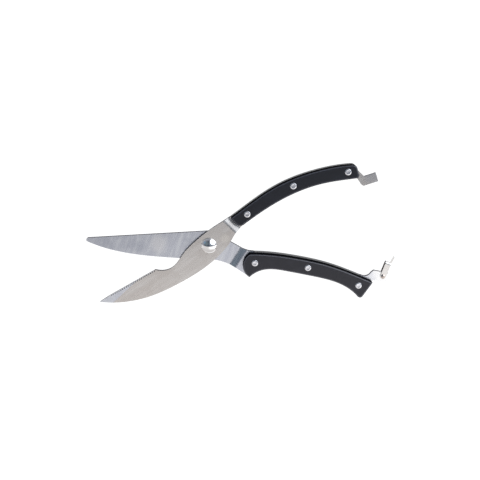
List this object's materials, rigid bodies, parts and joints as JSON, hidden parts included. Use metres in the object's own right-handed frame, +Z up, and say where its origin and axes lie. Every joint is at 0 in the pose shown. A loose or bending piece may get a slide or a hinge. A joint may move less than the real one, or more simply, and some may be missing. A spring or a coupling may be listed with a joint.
{
  "type": "poultry shears",
  "caption": "Spring-opened poultry shears with riveted black handle scales, one plain and one serrated blade with a bone notch, a domed pivot bolt and a swinging strap latch.",
  "frame": {"origin": "where the pivot axis meets the plane that the shears rest on (the rear faces of the handle scales)", "axes": "+Z up the pivot axis, out through the domed bolt head; +X towards the handles and -X towards the blades; +Y from the plain half's handle towards the serrated half's handle"},
  "size_m": [0.2559, 0.1164, 0.0143],
  "materials": {
    "blade_steel": "brushed stainless sheet",
    "handle_plastic": "fine matte moulded plastic",
    "rivet_steel": "satin turned rivets",
    "dome_chrome": "polished domed bolt",
    "nut_steel": "plain nut",
    "washer_steel": "plain washer",
    "spring_steel": "drawn spring wire",
    "latch_steel": "bright folded strap",
    "latch_rivet_steel": "burnished rivet"
  },
  "bodies": {
    "plain_half": {"plain_blade": "blade_steel", "lower_front_scale": "handle_plastic", "lower_rear_scale": "handle_plastic", "lower_rivet_front_1": "rivet_steel", "lower_rivet_front_2": "rivet_steel", "lower_rivet_front_3": "rivet_steel", "lower_rivet_rear_1": "rivet_steel", "lower_rivet_rear_2": "rivet_steel", "lower_rivet_rear_3": "rivet_steel", "pivot_bolt": "dome_chrome", "pivot_washer": "washer_steel", "pivot_nut": "nut_steel", "latch_rivet": "latch_rivet_steel", "return_spring": "spring_steel"},
    "serrated_half": {"serrated_blade": "blade_steel", "upper_front_scale": "handle_plastic", "upper_rear_scale": "handle_plastic", "upper_rivet_front_1": "rivet_steel", "upper_rivet_front_2": "rivet_steel", "upper_rivet_front_3": "rivet_steel", "upper_rivet_rear_1": "rivet_steel", "upper_rivet_rear_2": "rivet_steel", "upper_rivet_rear_3": "rivet_steel"},
    "latch": {"latch": "latch_steel"}
  },
  "joints": [
    {"name": "closing", "type": "hinge", "parent": "plain_half", "child": "serrated_half", "pos_m": [0, 0, 0], "axis": [0, 0, -1], "range_deg": [0, 30], "stiffness_Nm_per_rad": 0.96, "deforming": ["return_spring"]},
    {"name": "latch_swing", "type": "hinge", "parent": "plain_half", "child": "latch", "pos_m": [0.1445, -0.0264, 0.007], "axis": [0, 0, 1], "range_deg": [-90, 8.5]}
  ]
}
